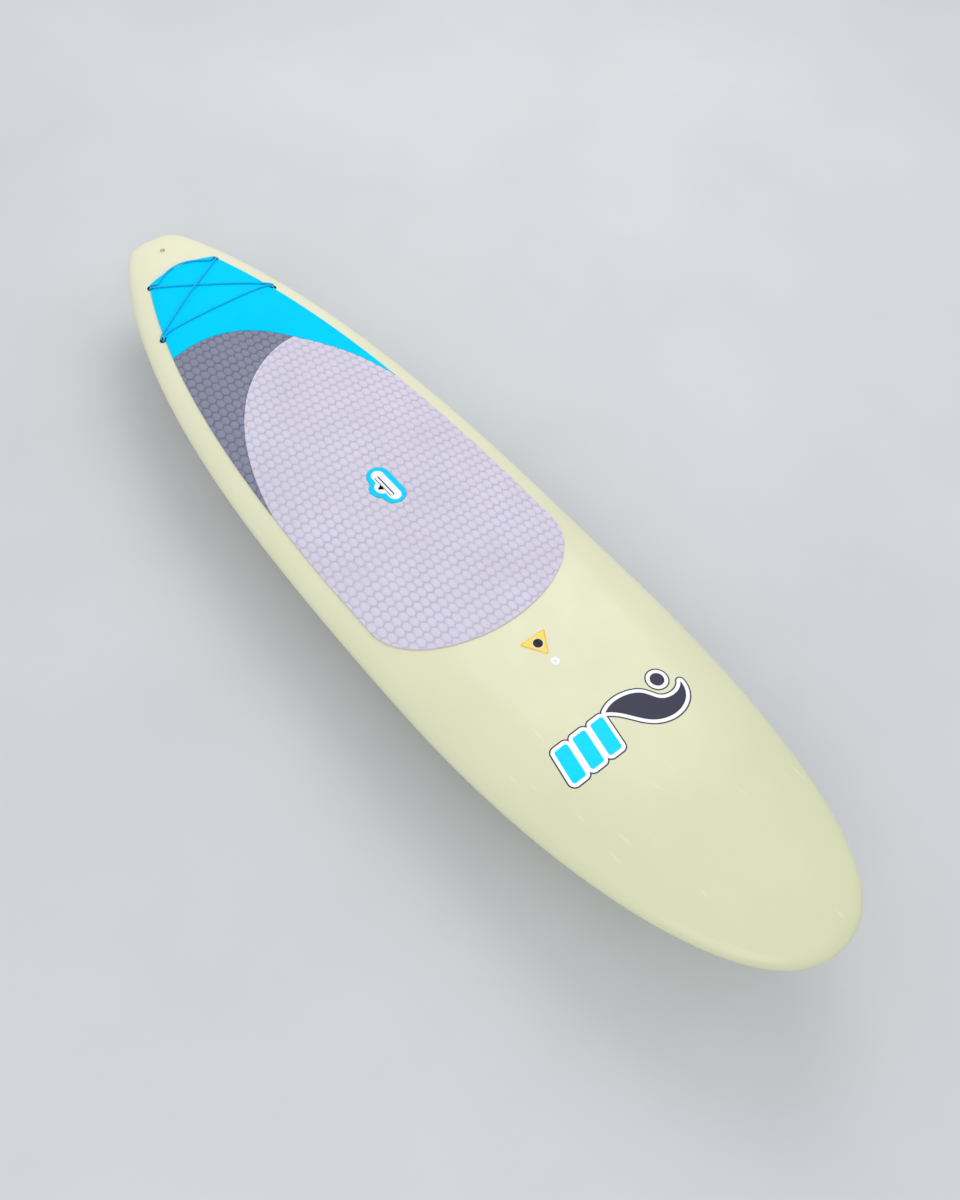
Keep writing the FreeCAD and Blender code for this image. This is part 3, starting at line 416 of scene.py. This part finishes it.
# Dark grey painted on the handle's cup, standing in for the shade inside the recess round the grip bar
dark = plastic("dark_plastic", linear(38, 42, 46), (0.5, 0.7), gloss=0.3)
pale = plastic("pale_plastic", linear(233, 231, 208))
steel = metal("steel", (0.62, 0.63, 0.65), (1, 1, 0.05))
dense = beads("dense_foam", linear(226, 212, 176), 0.0025)
beaded = beads("core_foam", linear(244, 244, 242), 0.004)
navy = plastic("navy_vinyl", linear(48, 46, 70), (0.3, 0.42), edge=0.0, gloss=0.25)
MATERIALS = {
    "deck_skin": board,
    "hull_skin": board,
    "foam_core_port": beaded,
    "foam_core_starboard": beaded,
    "stringer": wood("stringer_wood", (0.60, 0.40, 0.22), (0.36, 0.21, 0.10)),
    "handle_foam_block": dense,
    "vent_foam_block": dense,
    "plug_foam_block": dense,
    "fin_foam_block": dense,
    # Painted shade: the cup under the white plate is dark grey to stand in for the shade seen through its
    # openings
    "handle_cup": dark,
    "handle_plate": white,
    "handle_grip_bar": white,
    "handle_trim": plastic("cyan_trim", CYAN, (0.55, 0.7), gloss=0.12),
    "vent_housing": pale,
    "vent_screw": black,
    "vent_o_ring": plastic("seal_rubber", linear(30, 30, 32), (0.45, 0.6)),
    "vent_triangle": yellow_sign(),
    "breather_housing": white,
    "breather_membrane": membrane("membrane", (0.55, 0.55, 0.57)),
    "leash_plug": pale,
    "leash_plug_bar": pale,
    "bungee_plugs": black,
    "bungee_plug_bars": steel,
    "fin_box": black,
    "fin": fin_resin(),
    "fin_cross_pin": metal("brass_pin", (0.72, 0.52, 0.24), (1, 0.05, 1)),
    "fin_screw": steel,
    "fin_nut_plate": steel,
    "graphic_ground": plastic("white_vinyl", linear(250, 250, 250), (0.3, 0.42), edge=0.0),
    "graphic_outline": navy,
    "graphic_navy": navy,
    "graphic_cyan": plastic("cyan_vinyl", linear(0, 218, 248), (0.3, 0.42), edge=0.0, gloss=0.12),
}


def dress_nodes():
    """Give every CAD node its material."""
    for name, material in MATERIALS.items():
        mesh = NODES[name].data
        mesh.materials.clear()
        mesh.materials.append(material)


# ---- deck surface and pad outlines, read from the CAD nodes ----

def merged_mesh(node):
    """Vertices of a CAD node with coincident ones joined, and its triangles."""
    mesh = NODES[node].data
    points = np.array([vertex.co for vertex in mesh.vertices])
    _, first, index = np.unique(np.round(points, 6), axis=0, return_index=True, return_inverse=True)
    mesh.calc_loop_triangles()
    triangles = np.array([triangle.vertices for triangle in mesh.loop_triangles])
    return points[first], index.ravel()[triangles]


def upward(points, triangles):
    """The triangles that face up."""
    a, b, c = (points[triangles[:, k]] for k in range(3))
    normal = np.cross(b - a, c - a)
    length = np.linalg.norm(normal, axis=1) + 1e-18
    return triangles[normal[:, 2] / length > FACES_UP]


def deck_terms(x, y):
    """Smooth basis functions of the deck's height."""
    along = np.polynomial.chebyshev.chebvander(x / DECK_HALF_LENGTH, DECK_DEGREES[0])
    across = np.polynomial.chebyshev.chebvander(2 * (y / DECK_HALF_WIDTH) ** 2 - 1, DECK_DEGREES[1])
    return (along[:, :, None] * across[:, None, :]).reshape(len(x), -1)


def fit_deck():
    """Coefficients of a smooth surface through the deck's vertices."""
    points, triangles = merged_mesh("deck_skin")
    top = points[np.unique(upward(points, triangles))]
    x, y = top[:, 0], top[:, 1]
    top = top[(np.abs(y) < FIT_HALF_WIDTH) & (x > FIT_X[0]) & (x < FIT_X[1])]
    coefficients, *_ = np.linalg.lstsq(deck_terms(top[:, 0], top[:, 1]), top[:, 2], rcond=1e-10)
    return coefficients


DECK = fit_deck()


def deck_height(x, y):
    return deck_terms(np.asarray(x, float), np.asarray(y, float)) @ DECK


def outline_edges(node):
    """Edges round the top of a pad: those that only one upward triangle uses."""
    points, triangles = merged_mesh(node)
    return points[:, :2], rim_edges(upward(points, triangles))


def rim_edges(triangles):
    """Directed edges that belong to one triangle only."""
    directed = np.concatenate([triangles[:, [0, 1]], triangles[:, [1, 2]], triangles[:, [2, 0]]])
    _, index, count = np.unique(np.sort(directed, axis=1), axis=0, return_index=True, return_counts=True)
    return directed[index[count == 1]]


def loops_of(edges):
    """Closed loops of vertex numbers made by directed edges."""
    following = dict(edges.tolist())
    loops = []
    while following:
        start, current = following.popitem()
        loop = [start]
        while current != start:
            loop.append(current)
            current = following.pop(current)
        loops.append(loop)
    return loops


def inset_loop(loop, distance):
    """The loop moved to its left by a distance, with mitred corners."""
    before, after = np.roll(loop, 1, axis=0), np.roll(loop, -1, axis=0)
    normals = []
    for step in (loop - before, after - loop):
        normal = np.column_stack([-step[:, 1], step[:, 0]])
        normals.append(normal / np.linalg.norm(normal, axis=1)[:, None])
    middle = normals[0] + normals[1]
    stretch = np.maximum((middle * middle).sum(axis=1), 0.5)
    return loop + middle * (2 * distance / stretch)[:, None]


def inside(points, segments):
    """Which points lie within the closed loops made by the segments."""
    crossings = np.zeros(len(points), int)
    for (x1, y1), (x2, y2) in segments:
        if y1 == y2:
            continue
        spans = (points[:, 1] < y1) != (points[:, 1] < y2)
        crossings += spans & (points[:, 0] < x1 + (points[:, 1] - y1) * (x2 - x1) / (y2 - y1))
    return crossings % 2 == 1


def distance_to(points, segments):
    """Distance from each point to the nearest segment."""
    nearest = np.full(len(points), np.inf)
    for start, end in segments:
        step = end - start
        share = np.clip((points - start) @ step / (step @ step), 0, 1)
        nearest = np.minimum(nearest, np.linalg.norm(points - start - share[:, None] * step, axis=1))
    return nearest


# ---- embossed hexagons ----

def cell_centres(low, high):
    """Centres of the hexagons that cover a box."""
    centres = []
    for column in range(math.floor(low[0] / CELL_PITCH_X), math.ceil(high[0] / CELL_PITCH_X) + 1):
        offset = CELL_PITCH_Y / 2 * (column % 2)
        for row in range(math.floor(low[1] / CELL_PITCH_Y) - 1, math.ceil(high[1] / CELL_PITCH_Y) + 1):
            centres.append((column * CELL_PITCH_X, row * CELL_PITCH_Y + offset))
    return np.array(centres)


def side_distances(points):
    """Distances from each point to the straight and to the slanted sides of the hexagon it lies in."""
    half_width = CELL_PITCH_Y / 2
    run = CELL_HALF - CELL_SHOULDER
    column = np.round(points[:, 0] / CELL_PITCH_X).astype(int)
    straight = np.full(len(points), -np.inf)
    slanted = np.full(len(points), -np.inf)
    for beside in (-1, 0, 1):
        x = np.abs(points[:, 0] - (column + beside) * CELL_PITCH_X)
        y = points[:, 1] - half_width * ((column + beside) % 2)
        y = np.abs(y - np.round(y / CELL_PITCH_Y) * CELL_PITCH_Y)
        to_end = (half_width * (CELL_HALF - x) - run * y) / math.hypot(half_width, run)
        better = np.minimum(half_width - y, to_end) > np.minimum(straight, slanted)
        straight = np.where(better, half_width - y, straight)
        slanted = np.where(better, to_end, slanted)
    return straight, slanted


def hexagon_ring(inset):
    """Corners of a hexagon, with a point in the middle of each side, moved in by a distance."""
    half_width = CELL_PITCH_Y / 2
    run = CELL_HALF - CELL_SHOULDER
    length = math.hypot(half_width, run)
    tip = CELL_HALF - inset * length / half_width
    shoulder = CELL_SHOULDER - inset * (length - run) / half_width
    side = half_width - inset
    port = [(tip, 0), (shoulder, side), (-shoulder, side)]
    corners = np.array(port + [(-x, -y) for x, y in port])
    middles = (corners + np.roll(corners, -1, axis=0)) / 2
    return np.stack([corners, middles], axis=1).reshape(-1, 2)


def groove_share(points):
    """How deeply each point is pressed in, from 0 to 1; the straight sides are pressed in less."""
    shares = []
    for distance in side_distances(points):
        share = np.clip((distance - GROOVE / 2) / GROOVE_SLOPE, 0, 1)
        shares.append(1 - share * share * (3 - 2 * share))
    return np.maximum(shares[0] * STRAIGHT_GROOVE, shares[1])


def rim_drop(distance):
    """How far the rounded top edge of a pad lies below its face."""
    share = np.clip(1 - distance / PAD_ROUND, 0, 1)
    return PAD_ROUND * (1 - np.sqrt(1 - share * share))


# ---- pads ----

def grid(low, high, step):
    xs = np.arange(low[0] + step / 2, high[0], step)
    ys = np.arange(low[1] + step / 2, high[1], step)
    return np.array([(x, y) for x in xs for y in ys])


def triangulated(rings, loose, segments):
    """Triangles over closed rings and loose points, kept where they lie within the segments."""
    points, edges = [], []
    for ring in rings:
        first, count = len(points), len(ring)
        points.extend(ring)
        edges.extend((first + k, first + (k + 1) % count) for k in range(count))
    points.extend(loose)
    found = delaunay_2d_cdt([Vector(point) for point in points], edges, [], 0, 1e-7, False)
    flat = np.array(found[0])
    triangles = np.array(found[2])
    return flat, triangles[inside(flat[triangles].mean(axis=1), segments)]


def cells_over(segments, low, high):
    """Centres of the hexagons that reach a pad."""
    centres = cell_centres(low, high)
    near = inside(centres, segments) | (distance_to(centres, segments) < CELL_HALF)
    return centres[near]


def lifted(flat, heights):
    """Points of a flat plan raised to some height over the glue line on the deck."""
    return np.column_stack([flat, deck_height(flat[:, 0], flat[:, 1]) + PAD_BASE + heights])


def make_pad(node, embossed):
    """One foam panel over the outline of its CAD node: face, side walls and underside."""
    plan, edges = outline_edges(node)
    segments = plan[edges]
    loops = [plan[loop] for loop in loops_of(edges)]
    low, high = plan.min(axis=0), plan.max(axis=0)
    rings = loops + [inset_loop(loop, PAD_ROUND * share) for loop in loops for share in RIM_SHARES]
    loose = grid(low, high, PAD_SMOOTH_STEP)
    if embossed:
        loose = cells_over(segments, low, high)
        for share in (0, 1, 2):
            ring = hexagon_ring(GROOVE / 2 + GROOVE_SLOPE * share / 2)
            rings.extend(centre + ring for centre in loose)
        rings.extend(centre + hexagon_ring(0) for centre in loose)
    flat, triangles = triangulated(rings, loose, segments)
    pressed = groove_share(flat) if embossed else np.zeros(len(flat))
    drop = rim_drop(distance_to(flat, segments)) + GROOVE_DEPTH * pressed

    border = rim_edges(triangles)
    under_rings = [flat[loop] for loop in loops_of(border)]
    under, under_triangles = triangulated(under_rings, grid(low, high, PAD_UNDER_STEP), segments)
    points = np.concatenate([lifted(flat, PAD_THICKNESS - drop), lifted(flat, 0), lifted(under, 0)])
    count = len(flat)
    faces = triangles.tolist()
    faces.extend((b, a, a + count, b + count) for a, b in border.tolist())
    faces.extend((under_triangles[:, ::-1] + 2 * count).tolist())
    shade = np.concatenate([pressed, np.zeros(count + len(under))])
    return solid_mesh(node.replace("pad_", "foam_"), points, faces, shade)


def solid_mesh(name, points, faces, pressed=None):
    """Smooth-shaded object from points and faces, with coincident points joined and loose ones dropped."""
    _, first, index = np.unique(np.round(points, 7), axis=0, return_index=True, return_inverse=True)
    index = index.ravel()
    faces = [[int(index[k]) for k in face] for face in faces]
    used = np.unique([k for face in faces for k in face])
    renumber = {int(old): new for new, old in enumerate(used)}
    mesh = bpy.data.meshes.new(name)
    mesh.from_pydata(points[first][used].tolist(), [], [[renumber[k] for k in face] for face in faces])
    if pressed is not None:
        attribute = mesh.attributes.new("pressed", "FLOAT", "POINT")
        attribute.data.foreach_set("value", pressed[first][used].astype(np.float32))
    mesh.shade_smooth()
    mesh.set_sharp_from_angle(angle=math.radians(SHARP_ANGLE))
    made = bpy.data.objects.new(name, mesh)
    bpy.context.scene.collection.objects.link(made)
    return made


# ---- shock cord ----

def plug_places():
    """Seats of the four bungee plugs: the middle of each bar."""
    bars, _ = merged_mesh("bungee_plug_bars")
    places = []
    for front in (True, False):
        for port in (True, False):
            middle_x = (bars[:, 0].min() + bars[:, 0].max()) / 2
            chosen = bars[((bars[:, 0] > middle_x) == front) & ((bars[:, 1] > 0) == port)]
            places.append((chosen.min(axis=0) + chosen.max(axis=0)) / 2)
    return places


def plug_axes(place):
    """Directions at a plug: towards the crossing of the cord, across it, and out of the deck."""
    step = 0.002
    x, y = place[:2]
    heights = deck_height([x + step, x - step, x, x], [y, y, y + step, y - step])
    out = Vector((heights[1] - heights[0], heights[3] - heights[2], 2 * step)).normalized()
    aim = Vector((CORD_CROSSING_X - x, -y, 0)).normalized()
    across = out.cross(aim).normalized()
    return across.cross(out), across, out


def plug_loop(place, first_side):
    """Axis of the cord round one bar: over the rim, down, under the bar and up again."""
    along, across, out = plug_axes(place)
    centre = Vector(place)
    top = PLUG_BAR_DEPTH + PAD_THICKNESS + CORD_RADIUS + CORD_LOOP_RISE
    leg = [(reach, top - drop) for reach, drop in CORD_LEG_PATH]
    local = [(reach, CORD_LEG, height) for reach, height in leg]
    for turn in np.linspace(0, math.pi, CORD_TURN_POINTS):
        local.append((0, CORD_LEG * math.cos(turn), -CORD_LEG * math.sin(turn)))
    local.extend((reach, -CORD_LEG, height) for reach, height in reversed(leg))
    return [centre + along * a + across * b * first_side + out * c for a, b, c in local]


def cord_run(start, end, count, bow, rise):
    """Points of the cord's axis between two plugs, lying on the pad."""
    points = []
    for k in range(1, count):
        share = k / count
        x = start.x + (end.x - start.x) * share - bow * 4 * share * (1 - share)
        y = start.y + (end.y - start.y) * share
        rest = deck_height([x], [y])[0] + PAD_BASE + PAD_THICKNESS + CORD_RADIUS + CORD_REST
        points.append(Vector((x, y, rest + rise * math.exp(-((share - 0.5) / CORD_RISE_SPREAD) ** 2))))
    return points


def cord_poles():
    """Control points of the cord: straight across in front, crossed in the middle, slack behind."""
    front_port, front_starboard, rear_port, rear_starboard = plug_places()
    order = ((front_port, -1), (front_starboard, -1), (rear_port, 1), (rear_starboard, 1))
    loops = [plug_loop(place, side) for place, side in order]
    runs = ((8, 0, 0), (12, 0, CORD_RISE), (8, CORD_SLACK, 0), (12, 0, 0))   # control points, sag, rise
    poles = []
    for k, (count, bow, rise) in enumerate(runs):
        poles.extend(loops[k])
        poles.extend(cord_run(loops[k][-1], loops[(k + 1) % 4][0], count, bow, rise))
    return np.array(poles)


def closed_spline(poles, step):
    """Points a step apart on the closed cubic spline of these control points."""
    shares = np.linspace(0, 1, 12, endpoint=False)
    weights = np.stack([
        (1 - shares) ** 3,
        3 * shares**3 - 6 * shares**2 + 4,
        -3 * shares**3 + 3 * shares**2 + 3 * shares + 1,
        shares**3,
    ]) / 6
    nearby = np.stack([np.roll(poles, -k, axis=0) for k in range(4)])
    dense = np.einsum("kn,kpc->pnc", weights, nearby).reshape(-1, 3)
    closed = np.vstack([dense, dense[:1]])
    travelled = np.concatenate([[0], np.cumsum(np.linalg.norm(np.diff(closed, axis=0), axis=1))])
    count = round(travelled[-1] / step)
    stops = np.linspace(0, travelled[-1], count, endpoint=False)
    return np.column_stack([np.interp(stops, travelled, closed[:, k]) for k in range(3)])


def make_cord():
    """Braided shock cord swept round its loop."""
    path = closed_spline(cord_poles(), CORD_STEP)
    count = len(path)
    tangents = np.roll(path, -1, axis=0) - np.roll(path, 1, axis=0)
    tangents /= np.linalg.norm(tangents, axis=1)[:, None]
    sides = [np.cross(tangents[0], (0, 0, 1))]
    for tangent in tangents[1:]:
        side = sides[-1] - tangent * (sides[-1] @ tangent)
        sides.append(side / np.linalg.norm(side))
    sides = np.array(sides) / np.linalg.norm(sides[0])
    overs = np.cross(tangents, sides)
    angles = np.arange(CORD_AROUND) * 2 * math.pi / CORD_AROUND
    strands = np.cos(BRAID_STRANDS * angles)[None, :]
    braid = strands * np.cos(math.pi * np.arange(count) / BRAID_STEPS)[:, None]
    radius = CORD_RADIUS - BRAID_RELIEF * (0.5 - 0.5 * braid)
    ring = np.cos(angles)[None, :, None] * sides[:, None] + np.sin(angles)[None, :, None] * overs[:, None]
    points = (path[:, None] + ring * radius[:, :, None]).reshape(-1, 3)
    faces = []
    for k in range(count):
        first, second = k * CORD_AROUND, (k + 1) % count * CORD_AROUND
        for j in range(CORD_AROUND):
            after = (j + 1) % CORD_AROUND
            faces.append((first + j, first + after, second + after, second + j))
    return solid_mesh("shock_cord", points, faces)


# ---- stage ----

def area_light(name, place, size, watts, colour):
    """Large soft light aimed at the middle of the board."""
    data = bpy.data.lights.new(name, "AREA")
    data.shape = "DISK"
    data.size = size
    data.energy = watts
    data.color = colour
    light = bpy.data.objects.new(name, data)
    light.location = place
    light.rotation_euler = (-Vector(place)).to_track_quat("-Z", "Y").to_euler()
    bpy.context.scene.collection.objects.link(light)


def see_through_from_below(shader):
    """Let the camera see through the back of the surface, so that it can look up at the hull."""
    back = shader.node("ShaderNodeNewGeometry").outputs["Backfacing"]
    camera_ray = shader.node("ShaderNodeLightPath").outputs["Is Camera Ray"]
    both = shader.node("ShaderNodeMath", operation="MULTIPLY")
    shader.link(back, both.inputs[0])
    shader.link(camera_ray, both.inputs[1])
    choice = shader.node("ShaderNodeMixShader")
    shader.link(both.outputs["Value"], choice.inputs["Fac"])
    shader.link(shader.surface.outputs["BSDF"], choice.inputs[1])
    shader.link(shader.node("ShaderNodeBsdfTransparent").outputs["BSDF"], choice.inputs[2])
    shader.link(choice.outputs["Shader"], shader.tree.nodes["Material Output"].inputs["Surface"])


def make_stage():
    """Pale floor under the fin, soft sky and two soft lights."""
    mesh = bpy.data.meshes.new("floor")
    reach, low = FLOOR_REACH, CAD_BOX[0][2] - FLOOR_GAP
    corners = [(-reach, -reach, low), (reach, -reach, low), (reach, reach, low), (-reach, reach, low)]
    mesh.from_pydata(corners, [], [(0, 1, 2, 3)])
    floor = bpy.data.objects.new("floor", mesh)
    shader = Shader("floor_paint")
    mottle = shader.ramp(shader.noise(0.8, 4), 0.3, 0.7)
    shader.colour(shader.mixed(mottle, *FLOOR_COLOURS))
    shader.roughness(shader.noise(0.3, 4), 0.75, 0.9)
    see_through_from_below(shader)
    mesh.materials.append(shader.material)
    bpy.context.scene.collection.objects.link(floor)

    world = bpy.data.worlds.new("soft_sky")
    world.use_nodes = True
    background = world.node_tree.nodes["Background"]
    background.inputs["Color"].default_value = SKY_COLOUR
    background.inputs["Strength"].default_value = SKY_STRENGTH
    bpy.context.scene.world = world
    area_light("key", *KEY_LIGHT)
    area_light("fill", *FILL_LIGHT)


def make_camera():
    """Standing beside the nose, looking down along the board to its tail."""
    data = bpy.data.cameras.new("camera")
    data.sensor_width = CAMERA_SENSOR
    data.lens = CAMERA_LENS
    camera = bpy.data.objects.new("camera", data)
    camera.location = CAMERA_PLACE
    aim = (Vector(CAMERA_AIM) - Vector(CAMERA_PLACE)).to_track_quat("-Z", "Y")
    roll = Quaternion((0, 0, 1), math.radians(CAMERA_ROLL))
    camera.rotation_euler = (aim @ roll).to_euler()
    bpy.context.scene.collection.objects.link(camera)
    bpy.context.scene.camera = camera


def dress_soft_pieces():
    """Pads and cord take the place of their CAD nodes."""
    foams = {
        "pad_light": (True, foam_pad("foam_light_grey", LIGHT_FOAM, LIGHT_GROOVE_SHADE)),
        "pad_dark": (True, foam_pad("foam_dark_grey", DARK_FOAM, DARK_GROOVE_SHADE)),
        "pad_cyan": (False, foam_pad("foam_bright_cyan", CYAN, CYAN_SHADE, 0.05)),
    }
    for node, (embossed, material) in foams.items():
        pad = make_pad(node, embossed)
        pad.data.materials.append(material)
        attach(pad, "board")
        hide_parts(node)
    cord = make_cord()
    cord.data.materials.append(braid())
    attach(cord, "board")
    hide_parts("bungee_cord")


dress_nodes()
dress_soft_pieces()
make_stage()
make_camera()
bpy.context.scene.view_settings.view_transform = "Standard"
